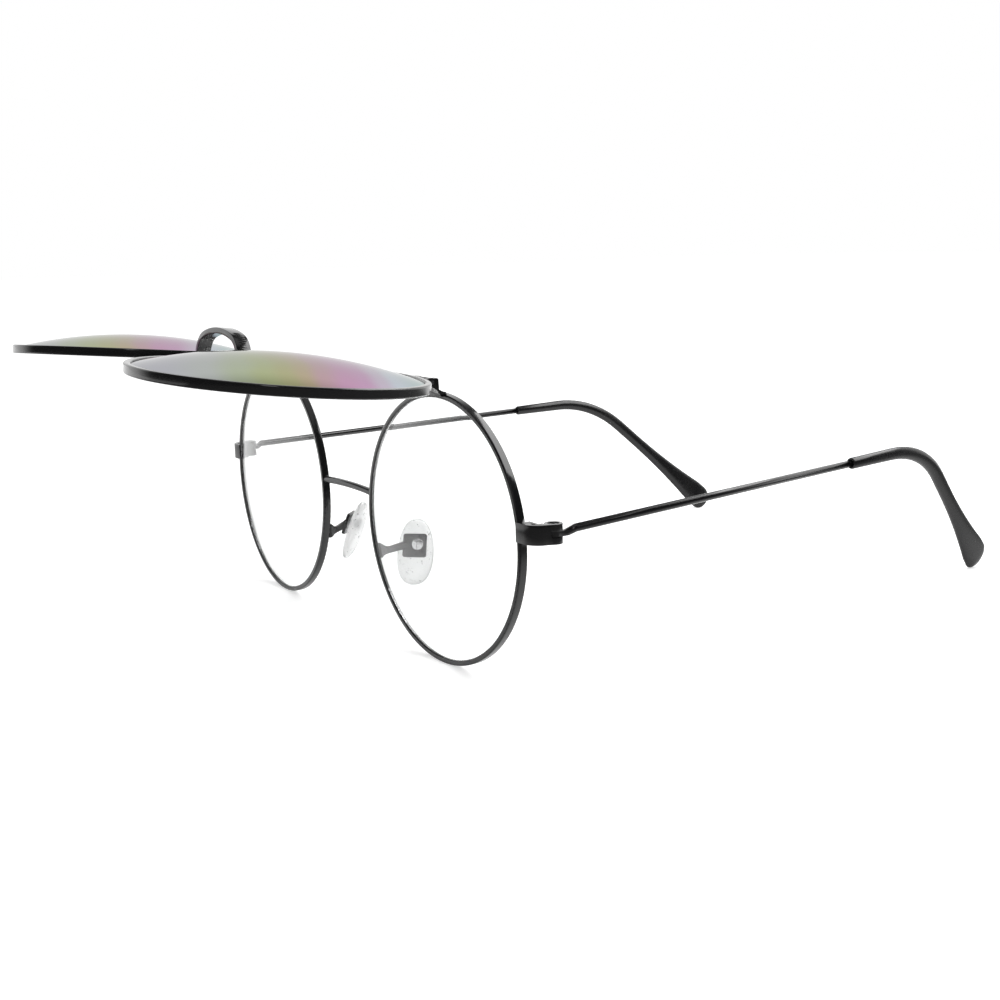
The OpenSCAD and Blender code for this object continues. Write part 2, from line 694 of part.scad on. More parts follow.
eyewire(left);  // left_eyewire
eyewire(right);  // right_eyewire
clear_lens(left);  // left_clear_lens
clear_lens(right);  // right_clear_lens
bridge();
end_piece(left);  // left_end_piece
end_piece(right);  // right_end_piece
closing_screw(left);  // left_closing_screw
closing_screw(right);  // right_closing_screw
hinge_screw(left);  // left_hinge_screw
hinge_screw(right);  // right_hinge_screw
pad_arm(left);  // left_pad_arm
pad_arm(right);  // right_pad_arm
nose_pad(left);  // left_nose_pad
nose_pad(right);  // right_nose_pad
pad_screw(left);  // left_pad_screw
pad_screw(right);  // right_pad_screw
flip_bracket(left);  // left_flip_bracket
flip_bracket(right);  // right_flip_bracket
flip_pin(left);  // left_flip_pin
flip_pin(right);  // right_flip_pin
flip_washers(left);  // left_flip_washers
flip_washers(right);  // right_flip_washers
temple_wire(left);  // left_temple_wire
temple_wire(right);  // right_temple_wire
temple_tip(left);  // left_temple_tip
temple_tip(right);  // right_temple_tip
flip_rim(left);  // left_flip_rim
flip_rim(right);  // right_flip_rim
mirror_lens(left);  // left_mirror_lens
mirror_lens(right);  // right_mirror_lens
flip_bridge();
flip_knuckle(left);  // left_flip_knuckle
flip_knuckle(right);  // right_flip_knuckle
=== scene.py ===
import json
import math

import bmesh
import bpy
from mathutils import Matrix, Vector

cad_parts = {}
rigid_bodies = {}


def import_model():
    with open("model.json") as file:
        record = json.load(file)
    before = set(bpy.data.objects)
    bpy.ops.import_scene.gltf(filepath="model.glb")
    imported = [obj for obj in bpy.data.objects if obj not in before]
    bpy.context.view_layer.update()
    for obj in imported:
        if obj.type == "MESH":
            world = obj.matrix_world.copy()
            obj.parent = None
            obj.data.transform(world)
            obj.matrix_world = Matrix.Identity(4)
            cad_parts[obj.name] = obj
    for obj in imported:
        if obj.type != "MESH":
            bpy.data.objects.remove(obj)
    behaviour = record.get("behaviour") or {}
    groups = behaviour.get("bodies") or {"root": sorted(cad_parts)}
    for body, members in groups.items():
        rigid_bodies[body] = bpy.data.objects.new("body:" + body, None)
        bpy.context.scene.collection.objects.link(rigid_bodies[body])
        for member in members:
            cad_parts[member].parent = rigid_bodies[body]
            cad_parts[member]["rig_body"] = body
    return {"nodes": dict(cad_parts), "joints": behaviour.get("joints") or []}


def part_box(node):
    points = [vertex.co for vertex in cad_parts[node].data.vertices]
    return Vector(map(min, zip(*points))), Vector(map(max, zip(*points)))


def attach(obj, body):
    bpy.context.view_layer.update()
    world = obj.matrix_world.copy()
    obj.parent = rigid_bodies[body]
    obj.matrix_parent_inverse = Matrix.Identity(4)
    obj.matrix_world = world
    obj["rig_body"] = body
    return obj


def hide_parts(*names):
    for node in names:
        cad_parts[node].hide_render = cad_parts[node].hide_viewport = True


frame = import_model()
nodes = frame["nodes"]
joints = {joint["name"]: joint for joint in frame["joints"]}
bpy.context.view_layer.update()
mm = 0.001
sides = {"left": 1, "right": -1}
print("frame loaded:", len(nodes), "pieces")

# Where things are, read from the frame, with the few offsets that its boxes don't give

offsets = {
    "rimBehindBridge": 0.984,  # from the middle of the bridge back to the plane of the eyewires
    "mirrorBeforeAxis": 0.175,  # from the flip axis forward to the lowered mirror lenses
    "archBeforeAxis": 1.045,  # from the flip axis forward to the lowered flip bridge
    "archBelowAxis": 23.65,  # from the flip axis down to the middle of the flip bridge's ends
}

flipAxis = Vector(joints["flip_hinge"]["pos_m"])
raisedAngle = math.radians(joints["flip_hinge"]["range_deg"][1])
eyewireLow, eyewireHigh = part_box("left_eyewire")
bridgeLow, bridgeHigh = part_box("bridge")
mirrorLow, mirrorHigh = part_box("left_mirror_lens")
archLow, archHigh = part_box("flip_bridge")
rimRadius = (eyewireHigh.z - eyewireLow.z) / 2
rimCentre = Vector((eyewireLow.x + rimRadius, 0, eyewireLow.z + rimRadius))
rimCentre.y = (bridgeLow.y + bridgeHigh.y) / 2 + offsets["rimBehindBridge"] * mm
archHalf = (archHigh.x - archLow.x) / 2 / mm
archFoot = flipAxis + Vector((0, -offsets["archBeforeAxis"] * mm, -offsets["archBelowAxis"] * mm))

# Takes a shape from the lowered place of the flip front, where it is drawn, to the raised one
toRaised = Matrix.Translation(flipAxis) @ Matrix.Rotation(-raisedAngle, 4, "X") @ Matrix.Translation(-flipAxis)


# Camera

view = {
    "azimuth": 57.086,
    "elevation": 10.656,
    "roll": -1.372,
    "lens": 49.356,
    "sensor": 36.0,
    "clip": (0.01, 50.0),
    "fromFlipAxis": Vector((0.249595, -0.122451, 0.024280)),
}

cameraData = bpy.data.cameras.new("photoCamera")
cameraData.lens = view["lens"]
cameraData.sensor_width = view["sensor"]
cameraData.clip_start, cameraData.clip_end = view["clip"]
camera = bpy.data.objects.new("photoCamera", cameraData)
camera.matrix_world = (
    Matrix.Translation(flipAxis + view["fromFlipAxis"])
    @ Matrix.Rotation(math.radians(view["azimuth"]), 4, "Z")
    @ Matrix.Rotation(math.radians(90 - view["elevation"]), 4, "X")
    @ Matrix.Rotation(math.radians(view["roll"]), 4, "Z")
)
bpy.context.scene.collection.objects.link(camera)
bpy.context.scene.camera = camera
bpy.context.scene.view_settings.view_transform = "Standard"
print("camera set")


# Shader helpers

def newMaterial(name):
    material = bpy.data.materials.new(name)
    material.use_nodes = True
    return material, material.node_tree, material.node_tree.nodes["Principled BSDF"]


def feed(tree, socket, value):
    # Links a socket, or sets a plain value
    if isinstance(value, bpy.types.NodeSocket):
        tree.links.new(value, socket)
    else:
        socket.default_value = value


def addNode(tree, kind, inputs=None, **settings):
    made = tree.nodes.new(kind)
    for key, value in settings.items():
        setattr(made, key, value)
    for key, value in (inputs or {}).items():
        feed(tree, made.inputs[key], value)
    return made


def setSockets(shader, values):
    for key, value in values.items():
        shader.inputs[key].default_value = value


def maths(tree, operation, *values):
    made = addNode(tree, "ShaderNodeMath", operation=operation)
    for socket, value in zip(made.inputs, values):
        feed(tree, socket, value)
    return made.outputs[0]


def spread(tree, source, fromLow, fromHigh, toLow, toHigh, smooth=False):
    made = addNode(
        tree, "ShaderNodeMapRange",
        {"Value": source, "From Min": fromLow, "From Max": fromHigh, "To Min": toLow, "To Max": toHigh},
        interpolation_type="SMOOTHSTEP" if smooth else "LINEAR",
    )
    return made.outputs["Result"]


def mixColours(tree, factor, first, second):
    made = addNode(tree, "ShaderNodeMix", data_type="RGBA")
    feed(tree, made.inputs[0], factor)
    # Sockets 6 and 7 are the two colours, and output 2 is the mixed colour
    for socket, colour in ((made.inputs[6], first), (made.inputs[7], second)):
        feed(tree, socket, (*colour, 1.0) if isinstance(colour, tuple) else colour)
    return made.outputs[2]


def easedRamp(tree, source, stops):
    made = addNode(tree, "ShaderNodeValToRGB", {"Fac": source})
    made.color_ramp.interpolation = "EASE"
    elements = made.color_ramp.elements
    while len(elements) < len(stops):
        elements.new(0.5)
    for element, (position, colour) in zip(elements, stops):
        element.position = position
        element.color = (*colour, 1.0)
    return made.outputs["Color"]


def noise(tree, point, scale, detail):
    made = addNode(tree, "ShaderNodeTexNoise", {"Vector": point, "Scale": scale, "Detail": detail})
    return made.outputs["Fac"]


def axisOf(tree, vector, axis):
    return addNode(tree, "ShaderNodeSeparateXYZ", {"Vector": vector}).outputs[axis]


def objectCoordinates(tree):
    coordinates = addNode(tree, "ShaderNodeTexCoord").outputs
    return coordinates["Object"], coordinates["Normal"]


def bump(tree, shader, height, relief):
    depth, strength = relief
    made = addNode(tree, "ShaderNodeBump", {"Height": height, "Distance": depth * mm, "Strength": strength})
    tree.links.new(made.outputs["Normal"], shader.inputs["Normal"])


def connect(tree, shader, colour, roughness):
    tree.links.new(colour, shader.inputs["Base Color"])
    tree.links.new(roughness, shader.inputs["Roughness"])


def fromSrgb(*levels):
    return tuple(v / 255 / 12.92 if v <= 10 else ((v / 255 + 0.055) / 1.055) ** 2.4 for v in levels)


# Shared shader groups: each is built once and placed in a material with its own values

grainShares = {"finer": 4.3, "coarse": 0.65, "fine": 0.35, "middle": (0.34, 0.66)}
wearShape = {"edge": (0.995, 0.90), "patchScale": 900.0, "patches": (0.42, 0.62), "least": 0.15}
dustShape = {
    "upward": (0.35, 0.95), "speckScale": 5200.0, "specks": (0.66, 0.74),
    "hazeScale": 160.0, "haze": (0.45, 0.75), "hazeMost": 0.35,
}


def newGroup(name, inputs, outputs):
    group = bpy.data.node_groups.new(name, "ShaderNodeTree")
    for label, kind, value in inputs:
        socket = group.interface.new_socket(label, in_out="INPUT", socket_type=kind)
        if value is not None:
            socket.default_value = value
    for label, kind in outputs:
        group.interface.new_socket(label, in_out="OUTPUT", socket_type=kind)
    return group, group.nodes.new("NodeGroupInput"), group.nodes.new("NodeGroupOutput")


def buildGrain():
    group, given, result = newGroup(
        "fineGrain",
        [("Point", "NodeSocketVector", None), ("Size", "NodeSocketFloat", 0.5),
         ("Low", "NodeSocketFloat", 0.0), ("High", "NodeSocketFloat", 1.0)],
        [("Value", "NodeSocketFloat"), ("Height", "NodeSocketFloat")],
    )
    point = given.outputs["Point"]
    perMetre = maths(group, "DIVIDE", 1000.0, given.outputs["Size"])  # Size is in millimetres
    coarse = noise(group, point, perMetre, 3.0)
    fine = noise(group, point, maths(group, "MULTIPLY", perMetre, grainShares["finer"]), 2.0)
    coarsePart = maths(group, "MULTIPLY", coarse, grainShares["coarse"])
    both = maths(group, "MULTIPLY_ADD", fine, grainShares["fine"], coarsePart)
    value = spread(group, both, *grainShares["middle"], given.outputs["Low"], given.outputs["High"])
    group.links.new(value, result.inputs["Value"])
    group.links.new(both, result.inputs["Height"])
    return group


def buildEdgeWear():
    group, given, result = newGroup(
        "edgeWear",
        [("Point", "NodeSocketVector", None), ("Width", "NodeSocketFloat", 0.12),
         ("Amount", "NodeSocketFloat", 0.5)],
        [("Mask", "NodeSocketFloat")],
    )
    radius = maths(group, "MULTIPLY", given.outputs["Width"], mm)
    rounded = addNode(group, "ShaderNodeBevel", {"Radius": radius}, samples=4)
    flat = addNode(group, "ShaderNodeNewGeometry")
    likeness = addNode(group, "ShaderNodeVectorMath", operation="DOT_PRODUCT")
    group.links.new(rounded.outputs["Normal"], likeness.inputs[0])
    group.links.new(flat.outputs["Normal"], likeness.inputs[1])
    edge = spread(group, likeness.outputs["Value"], *wearShape["edge"], 0.0, 1.0)
    patchy = noise(group, given.outputs["Point"], wearShape["patchScale"], 4.0)
    broken = spread(group, patchy, *wearShape["patches"], wearShape["least"], 1.0)
    worn = maths(group, "MULTIPLY", edge, broken)
    group.links.new(maths(group, "MULTIPLY", worn, given.outputs["Amount"]), result.inputs["Mask"])
    return group


def buildDust():
    group, given, result = newGroup(
        "settledDust",
        [("Point", "NodeSocketVector", None), ("Upward", "NodeSocketVector", None),
         ("Amount", "NodeSocketFloat", 0.5)],
        [("Mask", "NodeSocketFloat")],
    )
    point = given.outputs["Point"]
    up = axisOf(group, given.outputs["Upward"], "Z")
    facing = spread(group, up, *dustShape["upward"], 0.0, 1.0, smooth=True)
    speck = spread(group, noise(group, point, dustShape["speckScale"], 2.0), *dustShape["specks"], 0.0, 1.0)
    film = noise(group, point, dustShape["hazeScale"], 4.0)
    haze = spread(group, film, *dustShape["haze"], 0.0, dustShape["hazeMost"])
    settled = maths(group, "MULTIPLY", maths(group, "MAXIMUM", speck, haze), facing)
    group.links.new(maths(group, "MULTIPLY", settled, given.outputs["Amount"]), result.inputs["Mask"])
    return group


grainGroup = buildGrain()
wearGroup = buildEdgeWear()
dustGroup = buildDust()


def useGroup(tree, group, **values):
    made = addNode(tree, "ShaderNodeGroup", node_tree=group)
    for key, value in values.items():
        feed(tree, made.inputs[key], value)
    return made.outputs


def grain(tree, point, size, roughness):
    return useGroup(tree, grainGroup, Point=point, Size=size, Low=roughness[0], High=roughness[1])


# Black lacquer on the metal parts

lacquer = {
    "colour": (0.0045, 0.0045, 0.005),
    "edgeColour": (0.020, 0.020, 0.020),
    "dustColour": (0.20, 0.20, 0.20),
    "roughness": (0.09, 0.17),
    "peelSize": 0.55,
    "relief": (0.004, 0.6),
    "wearWidth": 0.10,
    "wear": 0.6,
    "dust": 0.05,
    "dustRoughness": 0.5,
    "gloss": {"IOR": 1.56, "Specular IOR Level": 0.5, "Coat Weight": 0.35, "Coat Roughness": 0.03},
}


def makeLacquer():
    material, tree, shader = newMaterial("blackLacquer")
    point, normal = objectCoordinates(tree)
    peel = grain(tree, point, lacquer["peelSize"], lacquer["roughness"])
    wear = useGroup(tree, wearGroup, Point=point, Width=lacquer["wearWidth"], Amount=lacquer["wear"])
    dust = useGroup(tree, dustGroup, Point=point, Upward=normal, Amount=lacquer["dust"])
    colour = mixColours(tree, wear["Mask"], lacquer["colour"], lacquer["edgeColour"])
    colour = mixColours(tree, dust["Mask"], colour, lacquer["dustColour"])
    rough = maths(tree, "MULTIPLY_ADD", dust["Mask"], lacquer["dustRoughness"], peel["Value"])
    connect(tree, shader, colour, rough)
    bump(tree, shader, peel["Height"], lacquer["relief"])
    setSockets(shader, lacquer["gloss"])
    return material


# Mirror coating: a rainbow that runs from the free edge of the lens to its hinge edge

coating = {
    "tilt": 0.30,
    "tiltCentre": 15.0,
    "shift": {"left": 0.0, "right": 5.0},
    "waver": 1.4,
    "waverScale": 0.055,
    "waverRange": (0.3, 0.7),
    # Millimetres from the middle of the lens towards the hinge, and the colour there
    "colours": [
        (-24.0, (190, 191, 200)),
        (-17.0, (190, 195, 191)),
        (-12.5, (183, 194, 163)),
        (-9.0, (183, 192, 141)),
        (-6.0, (186, 185, 134)),
        (-3.0, (194, 177, 143)),
        (0.0, (202, 165, 172)),
        (3.5, (209, 158, 193)),
        (7.0, (210, 162, 200)),
        (11.0, (214, 198, 219)),
        (14.5, (215, 226, 238)),
        (19.5, (186, 220, 218)),
        (25.0, (186, 212, 206)),
    ],
    "backTint": (0.050, 0.048, 0.052),
    "backTurn": 0.15,
    "dustColour": (0.55, 0.55, 0.55),
    "dust": 0.12,
    "dustRoughness": 0.4,
    "grazing": 0.66,
    "roughness": (0.045, 0.085),
    "smearSize": 6.0,
    "relief": (0.0015, 0.4),
}


def makeMirror(side, sign):
    material, tree, shader = newMaterial(side + "MirrorCoating")
    point, normal = objectCoordinates(tree)
    centreX, centreY = sign * rimCentre.x, (mirrorLow.y + mirrorHigh.y) / 2
    centred = addNode(
        tree, "ShaderNodeMapping",
        {"Vector": point, "Location": (-centreX / mm, -centreY / mm, 0.0), "Scale": (1 / mm, 1 / mm, 1 / mm)},
    ).outputs["Vector"]
    sideways = maths(tree, "SUBTRACT", axisOf(tree, centred, "X"), coating["tiltCentre"])
    along = maths(tree, "MULTIPLY_ADD", sideways, coating["tilt"], axisOf(tree, centred, "Y"))
    shift, waver = coating["shift"][side], coating["waver"]
    uneven = noise(tree, centred, coating["waverScale"], 1.0)
    wavering = spread(tree, uneven, *coating["waverRange"], shift - waver, shift + waver)
    along = maths(tree, "ADD", along, wavering)
    first, last = coating["colours"][0][0], coating["colours"][-1][0]
    stops = [((t - first) / (last - first), fromSrgb(*c)) for t, c in coating["colours"]]
    colour = easedRamp(tree, spread(tree, along, first, last, 0.0, 1.0), stops)
    dust = useGroup(tree, dustGroup, Point=point, Upward=normal, Amount=coating["dust"])
    colour = mixColours(tree, dust["Mask"], colour, coating["dustColour"])
    # The coating is on the front only, and the back shows a dark tint
    turn = coating["backTurn"]
    behind = spread(tree, axisOf(tree, normal, "Z"), -turn, turn, 1.0, 0.0, smooth=True)
    colour = mixColours(tree, behind, colour, coating["backTint"])
    smear = grain(tree, point, coating["smearSize"], coating["roughness"])
    rough = maths(tree, "MULTIPLY_ADD", dust["Mask"], coating["dustRoughness"], smear["Value"])
    connect(tree, shader, colour, rough)
    bump(tree, shader, smear["Height"], coating["relief"])
    grazing = coating["grazing"]
    setSockets(shader, {"Metallic": 1.0, "Specular Tint": (grazing, grazing, grazing, 1.0)})
    return material


# Clear parts: spectacle lenses and soft pads

clearGlass = {
    "colour": (0.975, 0.985, 0.982),
    "dimmed": 0.985,
    "smearSize": 7.0,
    "roughness": (0.0, 0.018),
    "ior": 1.46,
}
silicone = {
    "colour": (0.985, 0.99, 0.987),
    "cloudColour": (0.962, 0.968, 0.966),
    "cloudScale": 420.0,
    "clouds": (0.35, 0.7),
    "grainSize": 0.9,
    "roughness": (0.26, 0.36),
    "relief": (0.0003, 0.1),
    "clearness": 0.62,
    "ior": 1.30,
}


def makeClearLens():
    material, tree, shader = newMaterial("clearLens")
    point, _ = objectCoordinates(tree)
    smear = grain(tree, point, clearGlass["smearSize"], clearGlass["roughness"])
    dimmed = tuple(c * clearGlass["dimmed"] for c in clearGlass["colour"])
    connect(tree, shader, mixColours(tree, smear["Height"], clearGlass["colour"], dimmed), smear["Value"])
    setSockets(shader, {"Transmission Weight": 1.0, "IOR": clearGlass["ior"]})
    return material


def makeSilicone():
    material, tree, shader = newMaterial("clearSilicone")
    point, _ = objectCoordinates(tree)
    skin = grain(tree, point, silicone["grainSize"], silicone["roughness"])
    cloudy = spread(tree, noise(tree, point, silicone["cloudScale"], 3.0), *silicone["clouds"], 0.0, 1.0)
    connect(tree, shader, mixColours(tree, cloudy, silicone["colour"], silicone["cloudColour"]), skin["Value"])
    bump(tree, shader, skin["Height"], silicone["relief"])
    setSockets(shader, {"Transmission Weight": silicone["clearness"], "IOR": silicone["ior"]})
    return material


# Bare metal and plastic

metals = {
    "nickel": {"colour": (0.74, 0.74, 0.75), "roughness": (0.12, 0.24), "grain": 0.25},
    "blackSteel": {"colour": (0.085, 0.085, 0.09), "roughness": (0.20, 0.36), "grain": 0.22},
    "wearWidth": 0.06,
    "wear": 0.5,
    "worn": (1.35, 0.03),  # a worn edge is this many times as bright, and this much more
    "relief": (0.003, 0.6),
}
tipPlastic = {
    "colour": (0.008, 0.008, 0.0085),
    "rubbedColour": (0.013, 0.013, 0.0135),
    "dustColour": (0.22, 0.22, 0.22),
    "dust": 0.10,
    "roughness": (0.16, 0.27),
    "grainSize": 0.8,
    "rubbedScale": 95.0,
    "rubbed": (0.4, 0.7),
    "duller": (0.35, 0.75, 0.0, 0.08),
    "relief": (0.003, 0.3),
    "ior": 1.56,
}
washerNylon = {
    "colours": ((0.62, 0.61, 0.58), (0.70, 0.69, 0.66)),
    "roughness": (0.38, 0.55),
    "grainSize": 0.3,
    "relief": (0.004, 0.5),
}


def makeMetal(name, tone):
    material, tree, shader = newMaterial(name)
    point, _ = objectCoordinates(tree)
    turned = grain(tree, point, tone["grain"], tone["roughness"])
    wear = useGroup(tree, wearGroup, Point=point, Width=metals["wearWidth"], Amount=metals["wear"])
    gain, lift = metals["worn"]
    brighter = tuple(min(1.0, c * gain + lift) for c in tone["colour"])
    connect(tree, shader, mixColours(tree, wear["Mask"], tone["colour"], brighter), turned["Value"])
    bump(tree, shader, turned["Height"], metals["relief"])
    setSockets(shader, {"Metallic": 1.0})
    return material


def makeTipPlastic():
    material, tree, shader = newMaterial("blackTipPlastic")
    point, normal = objectCoordinates(tree)
    skin = grain(tree, point, tipPlastic["grainSize"], tipPlastic["roughness"])
    rubbed = noise(tree, point, tipPlastic["rubbedScale"], 3.0)
    dust = useGroup(tree, dustGroup, Point=point, Upward=normal, Amount=tipPlastic["dust"])
    patches = spread(tree, rubbed, *tipPlastic["rubbed"], 0.0, 1.0)
    colour = mixColours(tree, patches, tipPlastic["colour"], tipPlastic["rubbedColour"])
    colour = mixColours(tree, dust["Mask"], colour, tipPlastic["dustColour"])
    duller = spread(tree, rubbed, *tipPlastic["duller"])
    connect(tree, shader, colour, maths(tree, "ADD", skin["Value"], duller))
    bump(tree, shader, skin["Height"], tipPlastic["relief"])
    setSockets(shader, {"IOR": tipPlastic["ior"]})
    return material


def makeNylon():
    material, tree, shader = newMaterial("paleNylon")
    point, _ = objectCoordinates(tree)
    skin = grain(tree, point, washerNylon["grainSize"], washerNylon["roughness"])
    connect(tree, shader, mixColours(tree, skin["Height"], *washerNylon["colours"]), skin["Value"])
    bump(tree, shader, skin["Height"], washerNylon["relief"])
    return material


blackLacquer = makeLacquer()
clearLens = makeClearLens()
clearSilicone = makeSilicone()
nickel = makeMetal("polishedNickel", metals["nickel"])
blackSteel = makeMetal("blackSteel", metals["blackSteel"])
blackTip = makeTipPlastic()
nylon = makeNylon()
mirrors = {side: makeMirror(side, sign) for side, sign in sides.items()}

finishes = {
    "clear_lens": clearLens, "nose_pad": clearSilicone, "pad_screw": nickel, "flip_pin": blackSteel,
    "closing_screw": blackSteel, "hinge_screw": blackSteel, "temple_tip": blackTip, "flip_washers": nylon,
}  # every other kind is black lacquer


def paint(piece, material):
    piece.data.materials.clear()
    piece.data.materials.append(material)


def kindOf(name):
    side, _, kind = name.partition("_")
    return kind if side in sides else name


def finishOf(name):
    if kindOf(name) == "mirror_lens":
        return mirrors[name.partition("_")[0]]
    return finishes.get(kindOf(name), blackLacquer)


for name, node in nodes.items():
    paint(node, finishOf(name))
print("finishes placed")


# Smooth copies of the CAD pieces, with their sharp edges eased as a polished part has them

eased = {
    "end_piece": 0.22, "flip_bracket": 0.14, "flip_knuckle": 0.12, "flip_bridge": 0.20, "pad_arm": 0.12,
    "pad_screw": 0.09, "hinge_screw": 0.07, "closing_screw": 0.06,
}
smoothed = ["eyewire", "flip_rim", "bridge", "temple_wire", "temple_tip", "flip_pin"]
cleaning = {
    "weld": 0.0008, "sliver": 0.0004, "flatAngle": 0.4, "easeAngle": 38, "sharpAngle": 34, "segments": 3,
}


def newPiece(name, mesh, body):
    piece = bpy.data.objects.new(name, mesh)
    bpy.context.scene.collection.objects.link(piece)
    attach(piece, body)
    return piece


def plainMesh(piece, name):
    # The modifiers' result, as a mesh with none left
    bpy.context.view_layer.update()
    result = bpy.data.meshes.new_from_object(piece.evaluated_get(bpy.context.evaluated_depsgraph_get()))
    result.name = name
    spent = piece.data
    bpy.data.objects.remove(piece)
    bpy.data.meshes.remove(spent)
    return result


def smoothShade(mesh):
    mesh.polygons.foreach_set("use_smooth", [True] * len(mesh.polygons))
    mesh.set_sharp_from_angle(angle=math.radians(cleaning["sharpAngle"]))


def meshFrom(work, name):
    mesh = bpy.data.meshes.new(name)
    work.to_mesh(mesh)
    work.free()
    return mesh


def easeEdges(name, mesh, width):
    draft = bpy.data.objects.new(name + "Draft", mesh)
    bpy.context.scene.collection.objects.link(draft)
    flatter = draft.modifiers.new("planar", "DECIMATE")
    flatter.decimate_type = "DISSOLVE"
    flatter.angle_limit = math.radians(cleaning["flatAngle"])
    bevel = draft.modifiers.new("ease", "BEVEL")
    bevel.limit_method = "ANGLE"
    bevel.angle_limit = math.radians(cleaning["easeAngle"])
    bevel.width = width * mm
    bevel.segments = cleaning["segments"]
    bevel.use_clamp_overlap = True
    return plainMesh(draft, name + "Eased")


def easedCopy(name, width):
    work = bmesh.new()
    work.from_mesh(nodes[name].data)
    bmesh.ops.remove_doubles(work, verts=work.verts, dist=cleaning["weld"] * mm)
    bmesh.ops.dissolve_degenerate(work, edges=work.edges, dist=cleaning["sliver"] * mm)
    mesh = meshFrom(work, name + "Work")
    if width:
        mesh = easeEdges(name, mesh, width)
    smoothShade(mesh)
    piece = newPiece(name + "_finished", mesh, nodes[name]["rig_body"])
    paint(piece, finishOf(name))
    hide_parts(name)


for name in sorted(nodes):
    if kindOf(name) in eased or kindOf(name) in smoothed:
        easedCopy(name, eased.get(kindOf(name), 0.0))
print("smooth copies made")


def mirrored(mesh):
    mesh.transform(Matrix.Diagonal((-1, 1, 1, 1)))
    mesh.flip_normals()


# Lenses, turned to their real domes, with the bevelled edge that sits in the rim's groove

lensShapes = {
    "clear_lens": {"edge": 24.40, "curve": 100.0, "thickness": 1.0, "bevel": 0.40, "land": 0.04},
    "mirror_lens": {"edge": 24.35, "curve": 89.0, "thickness": 1.1, "bevel": 0.40, "land": 0.04},
}
lensDetail = {"rings": 26, "round": 168, "wrap": 2.4}


def addRing(work, radius, depth, count):
    turns = [2 * math.pi * k / count for k in range(count)]
    return [work.verts.new((radius * math.cos(a), -depth, radius * math.sin(a))) for a in turns]


def joinRings(work, first, second):
    count = len(first)
    for k in range(count):
        n = (k + 1) % count
        work.faces.new((first[k], first[n], second[n], second[k]))


def closeRing(work, ring, point):
    pole = work.verts.new(point)
    for k in range(len(ring)):
        work.faces.new((ring[k], ring[(k + 1) % len(ring)], pole))


def lensMesh(name, shape):
    edge, curve, thickness = shape["edge"], shape["curve"], shape["thickness"]
    drop = math.sqrt((curve - thickness / 2) ** 2 - edge ** 2)
    steps = [edge * i / lensDetail["rings"] for i in range(1, lensDetail["rings"] + 1)]
    front = [(r, math.sqrt(curve ** 2 - r ** 2) - drop) for r in steps]
    back = [(r, math.sqrt((curve - thickness) ** 2 - r ** 2) - drop) for r in reversed(steps)]
    bevel, land = shape["bevel"], shape["land"]
    side = [(edge, bevel), (edge + bevel, land), (edge + bevel, -land), (edge, -bevel)]
    work = bmesh.new()
    rings = [addRing(work, r, depth, lensDetail["round"]) for r, depth in front + side + back]
    for first, second in zip(rings, rings[1:]):
        joinRings(work, first, second)
    closeRing(work, rings[0], (0, -(curve - drop), 0))
    closeRing(work, rings[-1], (0, -(curve - thickness - drop), 0))
    bmesh.ops.recalc_face_normals(work, faces=work.faces)
    return meshFrom(work, name)


lensWrap = Matrix.Rotation(math.radians(lensDetail["wrap"]), 4, "Z") @ Matrix.Scale(mm, 4)
loweredCentre = Vector((rimCentre.x, flipAxis.y - offsets["mirrorBeforeAxis"] * mm, rimCentre.z))
lensPlaces = {
    "clear_lens": ("front_frame", Matrix.Translation(rimCentre) @ lensWrap),
    "mirror_lens": ("flip_front", toRaised @ Matrix.Translation(loweredCentre) @ lensWrap),
}
for kind, (body, matrix) in lensPlaces.items():
    for side, sign in sides.items():
        mesh = lensMesh(side + kind, lensShapes[kind])
        mesh.transform(matrix)
        if sign < 0:
            mirrored(mesh)
        smoothShade(mesh)
        lens = newPiece(side + "_" + kind + "_turned", mesh, body)
        paint(lens, finishOf(side + "_" + kind))
        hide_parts(side + "_" + kind)
print("lenses turned")


# Geometry Nodes helpers

def newTree(name, inputs):
    tree = bpy.data.node_groups.new(name, "GeometryNodeTree")
    tree.interface.new_socket("Geometry", in_out="INPUT", socket_type="NodeSocketGeometry")
    for label, kind, value in inputs:
        socket = tree.interface.new_socket(label, in_out="INPUT", socket_type=kind)
        if value is not None:
            socket.default_value = value
    tree.interface.new_socket("Geometry", in_out="OUTPUT", socket_type="NodeSocketGeometry")
    return tree, tree.nodes.new("NodeGroupInput"), tree.nodes.new("NodeGroupOutput")


def grow(name, tree, points, edges, values, body, matrix):
    # Runs a tree on a path of points, and keeps its result as one plain mesh
    mesh = bpy.data.meshes.new(name + "Path")
    mesh.from_pydata(points, edges, [])
    draft = bpy.data.objects.new(name + "Draft", mesh)
    modifier = draft.modifiers.new("grow", "NODES")
    modifier.node_group = tree
    for item in tree.interface.items_tree:
        if item.item_type == "SOCKET" and item.in_out == "INPUT" and item.name in values:
            modifier[item.identifier] = values[item.name]
    bpy.context.scene.collection.objects.link(draft)
    result = plainMesh(draft, name)
    result.transform(matrix)
    result.materials.clear()
    result.materials.append(values["Material"])
    return newPiece(name, result, body)


def finishTree(tree, result, geometry, material):
    real = addNode(tree, "GeometryNodeRealizeInstances", {"Geometry": geometry})
    smooth = addNode(tree, "GeometryNodeSetShadeSmooth", {"Geometry": real.outputs["Geometry"]})
    painted = addNode(
        tree, "GeometryNodeSetMaterial", {"Geometry": smooth.outputs["Geometry"], "Material": material})
    tree.links.new(painted.outputs["Geometry"], result.inputs["Geometry"])


def chain(points, start=0, closed=False):
    edges = [(start + i, start + i + 1) for i in range(len(points) - 1)]
    return edges + ([(start + len(points) - 1, start)] if closed else [])


# Ribs round the shoulders of the flip bridge, spaced along its outer face

